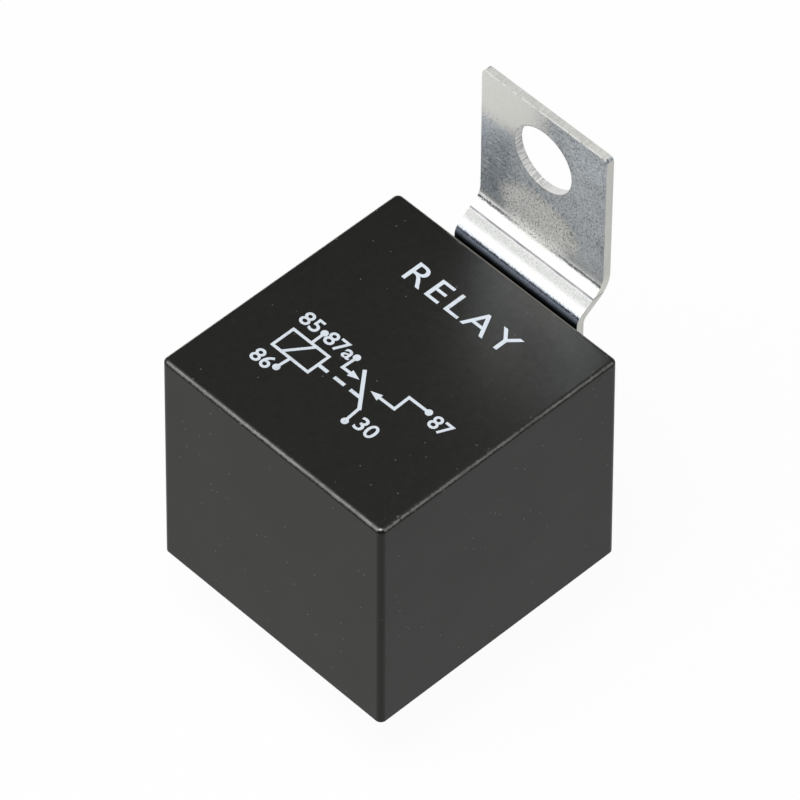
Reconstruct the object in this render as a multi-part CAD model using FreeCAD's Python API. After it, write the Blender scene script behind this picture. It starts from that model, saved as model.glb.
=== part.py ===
# Cube automotive relay: change-over contact, five blades, plug-in base, steel bracket.
# Millimetres. The origin is the centre of the cover's rim. +Z points up through the
# printed top, +Y towards the bracket, and the blades point down. The mechanism is drawn with
# its contacts towards +Y, and main turns it half round, so that they face away from the bracket.
import FreeCAD
import Part
import math
import os

# Cover: a moulded box, open below, with drafted walls
cover_width = 27.5
cover_depth = 28.5
cover_height = 25.2
cover_draft = 0.19
cover_wall = 1.0
cover_top = 1.2
cover_corner_radius = 0.6
cover_edge_radius = 0.45
stop_rib_width = 2.0
stop_rib_depth = 0.7

# Pocket on the cover's back wall, which holds the bracket's shank
pocket_skin = 1.0
pocket_side = 1.2
pocket_height = 10.5
pocket_drop = 3.5
pocket_edge_radius = 0.4
shank_clearance = 0.04

# Bracket: one strip of folded sheet steel
bracket_sheet = 0.8
bracket_width = 15.1
bracket_shift = 0.85
bracket_offset = 3.1
bracket_rise = 18.3
bracket_jog_angle = 55.0
bracket_knee_lift = 0.4
bracket_knee_radius = 0.9
bracket_shoulder_radius = 2.0
bracket_corner_radius = 0.5
bracket_hole_diameter = 6.8
bracket_hole_margin = 5.6
lance_width = 4.0
lance_length = 3.4
lance_lift = 0.75
lance_bend_radius = 0.3
lance_slit = 0.35
lance_height = 3.6
window_clearance = 0.4

# Base plate: a moulded plate that snaps into the cover
base_recess = 1.2
base_thickness = 2.2
base_clearance = 0.1
base_corner_radius = 0.5
slot_clearance = 0.03
slot_lead_in = 0.35
catch_length = 5.0
catch_lift = 0.35
catch_height = 1.1
catch_clearance = 0.08
catch_spacing = 13.0
pad_width = 2.0
post_depth = 1.6
post_clearance = 0.1
post_drop = 3.0

# Terminals: blades of sheet copper alloy
blade_width = 6.3
terminal_sheet = 0.8
blade_reach = 8.4
blade_tip_length = 1.4
blade_tip_thickness = 0.35
blade_corner = 1.0
coil_blade_pitch = 16.8
contact_blade_inset = 5.85
shoulder_width = 7.6
shoulder_height = 1.0
fold_radius = 0.3
coil_pin_width = 1.0
coil_pin_rise = 3.2
riser_width = 3.2
riser_drop = 4.2
run_width = 2.6
run_clearance = 0.6
run_gap = 0.8
closed_riser_gap = 0.5

# Magnet system: yoke, core, bobbin and winding
yoke_thickness = 1.4
yoke_side_gap = 1.0
yoke_fold_radius = 0.5
ear_width = 1.6
ear_height = 1.3
core_share_of_winding = 0.478
core_stake_step = 0.8
core_stake_head = 0.35
pole_overhang = 1.4
pole_thickness = 1.0
bobbin_wall = 0.8
bobbin_flange = 0.9
bobbin_core_clearance = 0.05
bobbin_yoke_clearance = 0.1
bobbin_front_gap = 2.6
bobbin_corner_radius = 1.2
flange_rim = 0.45
pin_ear_width = 3.4
pin_ear_margin = 0.9
wire_radius = 0.13
wire_wraps = 2
wire_wrap_pitch = 0.24

# Armature and moving contact
travel_angle = 3.5
armature_thickness = 1.2
armature_width = 13.0
armature_clearance = 0.2
armature_front_margin = 0.8
armature_corner = 1.2
hinge_gap = 0.1
pole_gap = 0.1
tail_width = 1.1
tail_reach = 0.9
tail_notch = 0.25
leaf_thickness = 0.25
leaf_width = 8.6
leaf_tip_width = 4.2
leaf_side_gap = 0.5
leaf_rivet_spacing = 5.4
leaf_rivet_radius = 0.7
leaf_rivet_head_radius = 1.15
leaf_rivet_head = 0.45

# Contacts
contact_offset = 1.5
contact_radius = 1.5
contact_shank_radius = 0.6
contact_foot_radius = 0.8
contact_foot = 0.3
fixed_contact_height = 0.5
moving_contact_height = 0.55
contact_dome_radius = 6.0
contact_crown_radius = 0.3
contact_margin = 0.1
contact_play = 0.05
ceiling_gap = 1.2

# Return spring and braid
spring_radius = 0.9
spring_wire_radius = 0.15
spring_turns = 5
spring_wall_gap = 0.6
spring_yoke_gap = 0.3
spring_shift = -3.2
spring_hook_rise = 1.2
spring_seat_clearance = 0.05
spring_notch_width = 0.6
tongue_thickness = 0.9
tongue_rise = 1.2
tongue_window = 2.6
tongue_fold_radius = 0.2
braid_thickness = 0.6
braid_width = 2.4
braid_arch = 1.9
braid_bend_radius = 0.9
braid_weld_length = 2.6

# Thin wire is drawn with six flat sides
wire_sides = 6
wire_flat_factor = 1 / math.cos(math.pi / wire_sides)
spring_hook_wire = spring_wire_radius * wire_flat_factor

# Levels, from the rim upwards
base_top = base_recess + base_thickness
yoke_bottom = base_top + terminal_sheet + run_gap
yoke_floor = yoke_bottom + yoke_thickness
blade_tip = -blade_reach

# Plan positions of the cover's walls
half_width = cover_width / 2
half_depth = cover_depth / 2
inner_half_width = half_width - cover_wall
inner_half_depth = half_depth - cover_wall
inner_top_depth = inner_half_depth - cover_draft
ceiling = cover_height - cover_top

# Plan positions of the mechanism, from the back wall of the spring side to the contacts
spring_reach = spring_radius + spring_wire_radius
spring_y = -inner_top_depth + spring_wall_gap + spring_reach
yoke_back = spring_y + spring_reach + spring_yoke_gap
yoke_front = yoke_back + yoke_thickness
yoke_width = coil_blade_pitch - terminal_sheet - 2 * yoke_side_gap
closed_blade_y = 0.0
open_blade_y = half_depth - contact_blade_inset
common_blade_y = -open_blade_y
contact_y = open_blade_y + contact_offset
closed_riser_y = inner_top_depth - closed_riser_gap - terminal_sheet / 2
flange_back = yoke_front + yoke_fold_radius + bobbin_yoke_clearance
flange_front = open_blade_y - terminal_sheet / 2 - bobbin_front_gap
coil_y = (flange_back + flange_front) / 2
flange_half_depth = (flange_front - flange_back) / 2
winding_radius = flange_half_depth - flange_rim
core_radius = winding_radius * core_share_of_winding
core_stake_radius = core_radius - core_stake_step
pole_radius = core_radius + pole_overhang

# The armature closes level with the pole. At rest it stands open by the travel angle,
# with the dome of its upper contact just under the normally closed contact.
travel = math.radians(travel_angle)
closed_contact_face = ceiling - ceiling_gap - terminal_sheet - fixed_contact_height
stack = moving_contact_height + leaf_thickness + armature_thickness + hinge_gap / 2
dome_offset = (stack - contact_dome_radius) * math.cos(travel) + contact_dome_radius
lever = contact_y - yoke_back
pivot_z = closed_contact_face - contact_play - lever * math.sin(travel) - dome_offset
yoke_top = pivot_z - hinge_gap / 2
armature_bottom = pivot_z + hinge_gap / 2
armature_top = armature_bottom + armature_thickness
leaf_top = armature_top + leaf_thickness
pole_face = armature_bottom - pole_gap
flange_top = pole_face - pole_thickness
open_contact_face = armature_top - moving_contact_height - contact_play
shelf_top = open_contact_face - fixed_contact_height
coil_pin_top = yoke_floor + bobbin_flange + coil_pin_rise
tongue_root = yoke_floor + yoke_fold_radius
tongue_underside = tongue_root + tongue_rise
leaf_rivet_xs = (-leaf_rivet_spacing / 2, leaf_rivet_spacing / 2)
leaf_rivet_y = coil_y + pole_radius / 2
braid_x = -spring_shift


def vec(x, y, z):
    return FreeCAD.Vector(x, y, z)


def block(x_limits, y_limits, z_limits):
    """A box between three pairs of limits."""
    spans = [high - low for low, high in (x_limits, y_limits, z_limits)]
    return Part.makeBox(spans[0], spans[1], spans[2], vec(x_limits[0], y_limits[0], z_limits[0]))


def about(middle, width):
    """The two limits of a width laid evenly about its middle."""
    return (middle - width / 2, middle + width / 2)


def disc(radius, x, y, z, height):
    """An upright cylinder that starts at a height z."""
    return Part.makeCylinder(radius, height, vec(x, y, z))


def prism(points, along):
    """A closed outline of points, drawn out along a vector."""
    outline = Part.makePolygon(points + points[:1])
    return Part.Face(outline).extrude(along)


def rounded_rectangle(half_x, half_y, radius, z):
    """A level rectangle with round corners, centred on the Z axis."""
    arcs = []
    for quarter in range(4):
        middle = math.radians(90 * quarter + 45)
        centre_x = math.copysign(half_x - radius, math.cos(middle))
        centre_y = math.copysign(half_y - radius, math.sin(middle))
        centre = vec(centre_x, centre_y, z)
        arcs.append(Part.makeCircle(radius, centre, vec(0, 0, 1), 90 * quarter, 90 * quarter + 90))
    edges = []
    for arc, following in zip(arcs, arcs[1:] + arcs[:1]):
        edges.append(arc)
        edges.append(Part.makeLine(arc.Vertexes[-1].Point, following.Vertexes[0].Point))
    return Part.Wire(edges)


def folded_sheet(points, thickness, inside_radii, across):
    """A sheet folded along a path that lies in one plane.

    points are the corners of its middle line, inside_radii the inside radius of
    each fold, and across the vector of its width, which the path is centred on.
    """
    side_direction = FreeCAD.Vector(across).normalize()
    runs = [(end - start).normalize() for start, end in zip(points, points[1:])]
    normals = [side_direction.cross(run) for run in runs]
    half = thickness / 2
    faces = []
    for side in (half, -half):
        edges = []
        start = points[0] + normals[0] * side
        for index, inside in enumerate(inside_radii):
            before, after = runs[index], runs[index + 1]
            corner = points[index + 1]
            bend = inside + half
            setback = bend * math.tan(before.getAngle(after) / 2)
            hand = math.copysign(1, normals[index].dot(after))
            centre = corner - before * setback + normals[index] * (hand * bend)
            entry = corner - before * setback + normals[index] * side
            leave = corner + after * setback + normals[index + 1] * side
            middle = centre + (corner - centre).normalize() * (bend - hand * side)
            edges.append(Part.makeLine(start, entry))
            edges.append(Part.Arc(entry, middle, leave).toShape())
            start = leave
        edges.append(Part.makeLine(start, points[-1] + normals[-1] * side))
        faces.append(edges)
    near, far = faces
    caps = [
        Part.makeLine(near[0].Vertexes[0].Point, far[0].Vertexes[0].Point),
        Part.makeLine(near[-1].Vertexes[-1].Point, far[-1].Vertexes[-1].Point),
    ]
    outline = Part.Wire(Part.__sortEdges__(near + far + caps))
    sheet = Part.Face(outline).extrude(across)
    sheet.translate(across * -0.5)
    return sheet


def wire_section(radius, centre, normal):
    """The six-sided outline of a thin wire, square to its direction."""
    forward = FreeCAD.Vector(normal).normalize()
    across = vec(1, 0, 0)
    up = forward.cross(across)
    points = []
    for side in range(wire_sides):
        angle = 2 * math.pi * (side + 0.5) / wire_sides
        points.append(centre + across * (radius * math.cos(angle)) + up * (radius * math.sin(angle)))
    return Part.makePolygon(points + points[:1])


def fillet_where(shape, radius, wanted):
    """Round the edges that a test on the edge picks out."""
    edges = [edge for edge in shape.Edges if wanted(edge)]
    return shape.makeFillet(radius, edges)


def along_y(edge):
    """Whether an edge is a straight one along Y."""
    ends = [vertex.Point for vertex in edge.Vertexes]
    return len(ends) == 2 and abs((ends[1] - ends[0]).normalize().y) > 0.999


def outer_wall_y(z):
    """How far the drafted back wall's outer face stands from the middle."""
    return half_depth - cover_draft * z / cover_height


# The cover and its pocket

pocket_top = cover_height - pocket_drop
pocket_bottom = pocket_top - pocket_height
shank_front = outer_wall_y(pocket_bottom) + shank_clearance
shank_back = shank_front + bracket_sheet
pocket_back = shank_back + shank_clearance + pocket_skin
lance_root = pocket_bottom + lance_height
lance_tip = lance_root + lance_length


def catch_profile(growth):
    """The wedge of one snap catch, seen along Y on the +X side, grown by a clearance."""
    face = inner_half_width - base_clearance
    low = base_recess + (base_thickness - catch_height) / 2 - growth
    high = low + catch_height + 2 * growth
    nose = face + catch_lift + growth
    root = face - base_clearance
    return [(root, low), (nose, low + catch_height / 3), (nose, high), (root, high)]


def catches(growth):
    """The four snap catches of the base plate, or the recesses that take them."""
    shapes = []
    for side in (1, -1):
        for y in (-catch_spacing / 2, catch_spacing / 2):
            start = y - catch_length / 2 - growth
            points = [vec(side * x, start, z) for x, z in catch_profile(growth)]
            shapes.append(prism(points, vec(0, catch_length + 2 * growth, 0)))
    return shapes


def stop_ribs():
    """Ribs in the cover's four corners, which the base plate is pushed up against."""
    ribs = []
    for side_x in (1, -1):
        for side_y in (1, -1):
            outer = (half_width - cover_wall / 2, half_depth - cover_wall / 2)
            inner = (inner_half_width - stop_rib_depth, inner_half_depth - stop_rib_width)
            xs = sorted((side_x * inner[0], side_x * outer[0]))
            ys = sorted((side_y * inner[1], side_y * outer[1]))
            ribs.append(block(xs, ys, (base_top, ceiling + cover_top / 2)))
    return ribs


def drafted_box(half_x, half_y, corner_radius):
    """A box whose walls lean in by the draft, rounded along its four upright edges."""
    outlines = []
    for z, lean in ((0, 0), (cover_height, cover_draft)):
        x, y = half_x - lean, half_y - lean
        corners = [vec(-x, -y, z), vec(x, -y, z), vec(x, y, z), vec(-x, y, z)]
        outlines.append(Part.makePolygon(corners + corners[:1]))
    box = Part.makeLoft(outlines, True, True)
    return fillet_where(box, corner_radius, lambda edge: edge.BoundBox.ZLength > cover_height / 2)


def cover():
    outside = drafted_box(half_width, half_depth, cover_corner_radius)
    outside = fillet_where(
        outside, cover_edge_radius, lambda edge: edge.BoundBox.ZMin > cover_height - cover_top
    )
    inside = drafted_box(inner_half_width, inner_half_depth, cover_corner_radius / 2)
    inside = inside.common(block((-cover_width, cover_width), (-cover_depth, cover_depth), (0, ceiling)))
    ribs = [rib.common(outside) for rib in stop_ribs()]
    body = outside.cut(inside).fuse(ribs + [bracket_pocket()])
    body = body.cut(catches(catch_clearance) + [shank_slot(), lance_window()])
    return body.removeSplitter()


def bracket_pocket():
    """The loop of wall that stands off the cover's back and holds the shank."""
    sides = about(bracket_shift, bracket_width + 2 * (shank_clearance + pocket_side))
    pocket = block(sides, (half_depth - cover_wall / 2, pocket_back), (pocket_bottom, pocket_top))
    outer_face = pocket_back - pocket_skin
    return fillet_where(pocket, pocket_edge_radius, lambda edge: edge.BoundBox.YMin > outer_face)


def shank_slot():
    sides = about(bracket_shift, bracket_width + 2 * shank_clearance)
    depth = (shank_front - shank_clearance, shank_back + shank_clearance)
    return block(sides, depth, (pocket_bottom - pocket_skin, pocket_top + pocket_skin))


def lance_window():
    sides = about(bracket_shift, lance_width + 2 * window_clearance)
    height = (lance_root - window_clearance, lance_tip + window_clearance)
    return block(sides, (shank_back, pocket_back + pocket_skin), height)


def mounting_bracket():
    shank_y = shank_front + bracket_sheet / 2
    plate_y = shank_y + bracket_offset
    knee = cover_height + bracket_knee_lift
    shoulder = knee + bracket_offset / math.tan(math.radians(bracket_jog_angle))
    top = cover_height + bracket_rise
    path = [
        vec(bracket_shift, shank_y, pocket_bottom),
        vec(bracket_shift, shank_y, knee),
        vec(bracket_shift, plate_y, shoulder),
        vec(bracket_shift, plate_y, top),
    ]
    radii = [bracket_knee_radius, bracket_shoulder_radius]
    strip = folded_sheet(path, bracket_sheet, radii, vec(bracket_width, 0, 0))
    strip = fillet_where(strip, bracket_corner_radius, along_y)
    hole_z = top - bracket_hole_margin
    hole = Part.makeCylinder(
        bracket_hole_diameter / 2, 2 * bracket_offset, vec(bracket_shift, shank_y, hole_z), vec(0, 1, 0)
    )
    opening_sides = about(bracket_shift, lance_width + 2 * lance_slit)
    opening = block(opening_sides, (shank_front, shank_back), (lance_root, lance_tip + lance_slit))
    lance_path = [
        vec(bracket_shift, shank_y, lance_root - lance_slit),
        vec(bracket_shift, shank_y, lance_root + lance_slit),
        vec(bracket_shift, shank_y + lance_lift, lance_tip),
    ]
    lance = folded_sheet(lance_path, bracket_sheet, [lance_bend_radius], vec(lance_width, 0, 0))
    return strip.cut([hole, opening]).fuse(lance).removeSplitter()


# The terminals

def blade(root):
    """A tab across X with a bevelled tip, centred on the Z axis, up to a height root."""
    half_tab = blade_width / 2
    half_sheet = terminal_sheet / 2
    half_tip = blade_tip_thickness / 2
    face = [
        vec(-half_tab, -half_sheet, root),
        vec(-half_tab, -half_sheet, blade_tip + blade_corner),
        vec(-half_tab + blade_corner, -half_sheet, blade_tip),
        vec(half_tab - blade_corner, -half_sheet, blade_tip),
        vec(half_tab, -half_sheet, blade_tip + blade_corner),
        vec(half_tab, -half_sheet, root),
    ]
    section = [
        vec(-half_tab, -half_sheet, root),
        vec(-half_tab, -half_sheet, blade_tip + blade_tip_length),
        vec(-half_tab, -half_tip, blade_tip),
        vec(-half_tab, half_tip, blade_tip),
        vec(-half_tab, half_sheet, blade_tip + blade_tip_length),
        vec(-half_tab, half_sheet, root),
    ]
    return prism(face, vec(0, terminal_sheet, 0)).common(prism(section, vec(blade_width, 0, 0)))


def shoulders():
    """The wider stretch above a blade, which sits on the base plate."""
    return block(about(0, shoulder_width), about(0, terminal_sheet), (base_top, base_top + shoulder_height))


def coil_terminal(side):
    """The blade of one end of the winding, with a pin that the wire is wrapped on."""
    pin = block(about(0, coil_pin_width), about(0, terminal_sheet), (base_top, coil_pin_top))
    shape = blade(base_top).fuse([shoulders(), pin]).removeSplitter()
    shape.rotate(vec(0, 0, 0), vec(0, 0, 1), 90)
    shape.translate(vec(side * coil_blade_pitch / 2, 0, 0))
    return shape


def terminal_30():
    """The common blade. Its foot turns the corner and rises behind the yoke."""
    root = blade(base_top)
    root.rotate(vec(0, 0, 0), vec(0, 0, 1), 90)
    root.translate(vec(0, common_blade_y, 0))
    riser_end = -spring_shift + riser_width / 2
    level = (base_top + yoke_top - riser_drop) / 2
    path = [
        vec(0, common_blade_y + shoulder_width / 2, level),
        vec(0, spring_y, level),
        vec(riser_end, spring_y, level),
    ]
    height = yoke_top - riser_drop - base_top
    foot = folded_sheet(path, terminal_sheet, [fold_radius], vec(0, 0, height))
    over_foot = block(
        (-blade_width, riser_end - riser_width),
        (-cover_depth, cover_depth),
        (base_top + shoulder_height, cover_height),
    )
    return root.fuse(foot.cut(over_foot)).removeSplitter()


def terminal_87():
    """The normally open blade. It rises straight and folds outwards into a shelf."""
    shelf_mid = shelf_top - terminal_sheet / 2
    path = [
        vec(0, open_blade_y, base_top),
        vec(0, open_blade_y, shelf_mid),
        vec(0, contact_y + contact_radius + contact_margin, shelf_mid),
    ]
    riser = folded_sheet(path, terminal_sheet, [fold_radius], vec(blade_width, 0, 0))
    root = blade(base_top).fuse(shoulders())
    root.translate(vec(0, open_blade_y, 0))
    hole = disc(contact_shank_radius, 0, contact_y, shelf_mid - terminal_sheet, 2 * terminal_sheet)
    return root.fuse(riser).cut(hole).removeSplitter()


def terminal_87a():
    """The normally closed blade. It runs under the coil, up the wall and back over the contact."""
    run_z = base_top + terminal_sheet / 2
    arm_z = ceiling - ceiling_gap - terminal_sheet / 2
    run_near = shoulder_width / 2 + run_clearance
    run_far = run_near + run_width
    arm_end = contact_y - contact_radius - contact_margin
    sides = (-blade_width / 2, run_far)
    middle = sum(sides) / 2
    path = [
        vec(middle, closed_blade_y, base_recess),
        vec(middle, closed_blade_y, run_z),
        vec(middle, closed_riser_y, run_z),
        vec(middle, closed_riser_y, arm_z),
        vec(middle, arm_end, arm_z),
    ]
    radii = [fold_radius] * 3
    sheet = folded_sheet(path, terminal_sheet, radii, vec(sides[1] - sides[0], 0, 0))
    fold_end = closed_blade_y + terminal_sheet
    past_blade = block((blade_width / 2, cover_width), (-blade_width, fold_end), (blade_tip, yoke_bottom))
    land = closed_blade_y + blade_width / 2
    arm_start = arm_z - terminal_sheet / 2 - contact_radius
    beside_run = block((-cover_width, run_near), (land, cover_depth), (blade_tip, arm_start))
    arm_side = -contact_radius - 2 * contact_margin
    past_arm = block((-cover_width, arm_side), (land, cover_depth), (arm_start, cover_height))
    root = blade(base_recess)
    root.translate(vec(0, closed_blade_y, 0))
    hole = disc(contact_shank_radius, 0, contact_y, arm_z - terminal_sheet, 2 * terminal_sheet)
    return root.fuse(sheet.cut([past_blade, beside_run, past_arm])).cut(hole).removeSplitter()


# The base plate

def blade_slot(x, y, along_x):
    """The hole for one blade, with a lead-in at the underside."""
    long_side = blade_width + 2 * slot_clearance
    short_side = terminal_sheet + 2 * slot_clearance
    spans = (long_side, short_side) if along_x else (short_side, long_side)
    slot = block(about(x, spans[0]), about(y, spans[1]), (0, base_top + terminal_sheet))
    flare = []
    for z, growth in ((base_recess, slot_lead_in), (base_recess + slot_lead_in, 0)):
        corners = [(-1, -1), (1, -1), (1, 1), (-1, 1), (-1, -1)]
        points = [
            vec(x + sx * (spans[0] / 2 + growth), y + sy * (spans[1] / 2 + growth), z) for sx, sy in corners
        ]
        flare.append(Part.makePolygon(points))
    return [slot, Part.makeLoft(flare, True, True)]


def yoke_pads():
    """The two rails that carry the yoke clear of the contact run."""
    outer = yoke_width / 2
    inner = outer - pad_width
    run_side = blade_width / 2
    left = block((-outer, -inner), (yoke_back, flange_front), (base_top, yoke_bottom))
    right = block((inner, outer), (yoke_back, -run_side), (base_top, yoke_bottom))
    return [left, right]


def contact_post():
    """The upstand behind the normally open riser, which backs it against contact force."""
    front = open_blade_y + terminal_sheet / 2 + post_clearance
    return block(about(0, blade_width), (front, front + post_depth), (base_top, shelf_top - post_drop))


def fold_relief():
    """The step at the slot's edge that clears the inside of the run's first fold."""
    face = closed_blade_y + terminal_sheet / 2
    depth = fold_radius + slot_clearance
    width = blade_width + 2 * slot_clearance
    return block(about(0, width), (face, face + depth), (base_top - depth, base_top))


def base_plate():
    inner_x = inner_half_width - cover_draft * base_top / cover_height - base_clearance
    inner_y = inner_half_depth - cover_draft * base_top / cover_height - base_clearance
    outline = rounded_rectangle(inner_x, inner_y, base_corner_radius, base_recess)
    plate = Part.Face(outline).extrude(vec(0, 0, base_thickness))
    plate = plate.fuse(yoke_pads() + [contact_post()] + catches(0))
    slots = blade_slot(0, closed_blade_y, True) + blade_slot(0, open_blade_y, True)
    slots += blade_slot(0, common_blade_y, False)
    for side in (1, -1):
        slots += blade_slot(side * coil_blade_pitch / 2, 0, False)
    return plate.cut(slots + [fold_relief()]).removeSplitter()


# The magnet system

def yoke():
    """The L of thick sheet that closes the magnet circuit, with ears that hold the armature."""
    path = [
        vec(0, flange_front, yoke_bottom + yoke_thickness / 2),
        vec(0, yoke_back + yoke_thickness / 2, yoke_bottom + yoke_thickness / 2),
        vec(0, yoke_back + yoke_thickness / 2, yoke_top + ear_height),
    ]
    angle = folded_sheet(path, yoke_thickness, [yoke_fold_radius], vec(yoke_width, 0, 0))
    between_ears = block(
        about(0, yoke_width - 2 * ear_width), (yoke_back, yoke_front), (yoke_top, yoke_top + ear_height)
    )
    stake_hole = disc(core_stake_radius, 0, coil_y, yoke_bottom, yoke_thickness)
    window = block(
        about(spring_shift, tail_width + tongue_thickness),
        (yoke_back, yoke_front),
        (tongue_root, tongue_root + tongue_window),
    )
    sheet_middle = yoke_back + yoke_thickness / 2
    tongue_path = [
        vec(spring_shift, sheet_middle, tongue_root - tongue_thickness / 2),
        vec(spring_shift, sheet_middle, tongue_underside + tongue_thickness / 2),
        vec(spring_shift, spring_y - tail_reach, tongue_underside + tongue_thickness / 2),
    ]
    tongue = folded_sheet(tongue_path, tongue_thickness, [tongue_fold_radius], vec(tail_width, 0, 0))
    notch = block(
        about(spring_shift, 2 * tail_width),
        about(spring_y, spring_notch_width),
        (tongue_underside, tongue_underside + tail_notch),
    )
    return angle.cut([between_ears, stake_hole, window]).fuse(tongue.cut(notch)).removeSplitter()


def core():
    """The round core, staked through the yoke, with the pole disc at its top."""
    profile = [
        vec(0, 0, yoke_bottom - core_stake_head),
        vec(core_stake_radius + core_stake_head, 0, yoke_bottom - core_stake_head),
        vec(core_stake_radius + core_stake_head, 0, yoke_bottom),
        vec(core_stake_radius, 0, yoke_bottom),
        vec(core_stake_radius, 0, yoke_floor),
        vec(core_radius, 0, yoke_floor),
        vec(core_radius, 0, flange_top),
        vec(pole_radius, 0, flange_top),
        vec(pole_radius, 0, pole_face),
        vec(0, 0, pole_face),
    ]
    face = Part.Face(Part.makePolygon(profile + profile[:1]))
    shape = face.revolve(vec(0, 0, 0), vec(0, 0, 1), 360)
    shape.translate(vec(0, coil_y, 0))
    return shape


def bobbin():
    """The moulded former: a tube between two flanges, with an ear at each coil pin."""
    bore = core_radius + bobbin_core_clearance
    tube = disc(bore + bobbin_wall, 0, coil_y, yoke_floor, flange_top - yoke_floor)
    flanges = []
    for z in (yoke_floor, flange_top - bobbin_flange):
        outline = rounded_rectangle(yoke_width / 2, flange_half_depth, bobbin_corner_radius, z)
        flange = Part.Face(outline).extrude(vec(0, 0, bobbin_flange))
        flange.translate(vec(0, coil_y, 0))
        flanges.append(flange)
    ear_reach = (coil_blade_pitch + terminal_sheet) / 2 + pin_ear_margin
    ears = block(about(0, 2 * ear_reach), about(0, pin_ear_width), (yoke_floor, yoke_floor + bobbin_flange))
    holes = [disc(bore, 0, coil_y, yoke_floor, flange_top - yoke_floor)]
    for side in (1, -1):
        pin_x = about(side * coil_blade_pitch / 2, terminal_sheet + 2 * slot_clearance)
        pin_y = about(0, coil_pin_width + 2 * slot_clearance)
        holes.append(block(pin_x, pin_y, (yoke_floor, yoke_floor + bobbin_flange)))
    return tube.fuse(flanges + [ears]).cut(holes).removeSplitter()


def wire_ring(radius, centre):
    """One level turn of thin wire."""
    section = Part.Face(wire_section(wire_radius, vec(radius, 0, 0), vec(0, 1, 0)))
    ring = section.revolve(vec(0, 0, 0), vec(0, 0, 1), 360)
    ring.translate(centre)
    return ring


def winding():
    """The wound wire, with a tail from each end wrapped round its coil pin."""
    low = yoke_floor + bobbin_flange
    high = flange_top - bobbin_flange
    tube_radius = core_radius + bobbin_core_clearance + bobbin_wall
    pack = disc(winding_radius, 0, coil_y, low, high - low).cut(disc(tube_radius, 0, coil_y, low, high - low))
    wrap_radius = math.hypot(coil_pin_width / 2, terminal_sheet / 2) + wire_radius
    pieces = []
    for side in (1, -1):
        pin = vec(side * coil_blade_pitch / 2, 0, low + coil_pin_rise / 2)
        for index in range(wire_wraps):
            pieces.append(wire_ring(wrap_radius, pin + vec(0, 0, index * wire_wrap_pitch)))
        leave = vec(side * (winding_radius - wire_radius), coil_y, low + 2 * wire_radius)
        run = pin + vec(0, -wrap_radius, 0) - leave
        pieces.append(Part.Face(wire_section(wire_radius, leave, run)).extrude(run))
    return pack.fuse(pieces).removeSplitter()


# The armature and its contact leaf, drawn closed and then swung open to rest

def at_rest(shape):
    """A piece of the armature, swung from closed to its rest."""
    shape.rotate(vec(0, yoke_back, pivot_z), vec(1, 0, 0), travel_angle)
    return shape


def leaf_rivet_holes(z, height):
    """The holes that the leaf's rivets pass through, in one of the sheets they hold."""
    return [disc(leaf_rivet_radius, x, leaf_rivet_y, z, height) for x in leaf_rivet_xs]


def armature():
    """The clapper plate: shoulders in front of the yoke's ears, and a tail for the spring."""
    half = armature_width / 2
    neck = yoke_width / 2 - ear_width - armature_clearance
    shoulder = yoke_front + armature_clearance
    rear = yoke_back - armature_thickness / 2
    front = coil_y + pole_radius + armature_front_margin
    tail = about(spring_shift, tail_width)
    tail_end = spring_y - tail_reach
    outline = [
        (half, shoulder),
        (half, front - armature_corner),
        (half - armature_corner, front),
        (-half + armature_corner, front),
        (-half, front - armature_corner),
        (-half, shoulder),
        (-neck, shoulder),
        (-neck, rear),
        (tail[0], rear),
        (tail[0], tail_end),
        (tail[1], tail_end),
        (tail[1], rear),
        (neck, rear),
        (neck, shoulder),
    ]
    plate = prism([vec(x, y, armature_bottom) for x, y in outline], vec(0, 0, armature_thickness))
    notch = block(
        about(spring_shift, 2 * tail_width),
        about(spring_y, spring_notch_width),
        (armature_top - tail_notch, armature_top),
    )
    return at_rest(plate.cut(leaf_rivet_holes(armature_bottom, armature_thickness) + [notch]))


def contact_leaf():
    """The springy strip on the armature: braid land at the back, contact at the tip."""
    half = leaf_width / 2
    half_tip = leaf_tip_width / 2
    rear = yoke_front + armature_clearance
    waist = coil_y
    front = coil_y + pole_radius + armature_front_margin
    tip = contact_y + contact_radius + contact_margin
    land = about(braid_x, braid_width + leaf_side_gap)
    outline = [
        (land[1], rear),
        (land[1], waist),
        (half, waist),
        (half, front - armature_corner),
        (half_tip, front + armature_corner),
        (half_tip, tip),
        (-half_tip, tip),
        (-half_tip, front + armature_corner),
        (-half, front - armature_corner),
        (-half, waist),
        (land[0], waist),
        (land[0], rear),
    ]
    sheet = prism([vec(x, y, armature_top) for x, y in outline], vec(0, 0, leaf_thickness))
    holes = leaf_rivet_holes(armature_top, leaf_thickness)
    holes.append(disc(contact_shank_radius, 0, contact_y, armature_top, leaf_thickness))
    return at_rest(sheet.cut(holes))


def leaf_rivets():
    """The two rivets that hold the leaf on the armature, flush below."""
    rivets = []
    for x in leaf_rivet_xs:
        shank = disc(leaf_rivet_radius, x, leaf_rivet_y, armature_bottom, armature_thickness + leaf_thickness)
        head = Part.makeCone(
            leaf_rivet_head_radius, leaf_rivet_radius, leaf_rivet_head, vec(x, leaf_rivet_y, leaf_top)
        )
        rivets.append(shank.fuse(head).removeSplitter())
    return at_rest(Part.makeCompound(rivets))


def dome_drop(reach):
    """How far a contact's dome falls away at a distance from its axis."""
    return contact_dome_radius - math.sqrt(contact_dome_radius ** 2 - reach ** 2)


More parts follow.
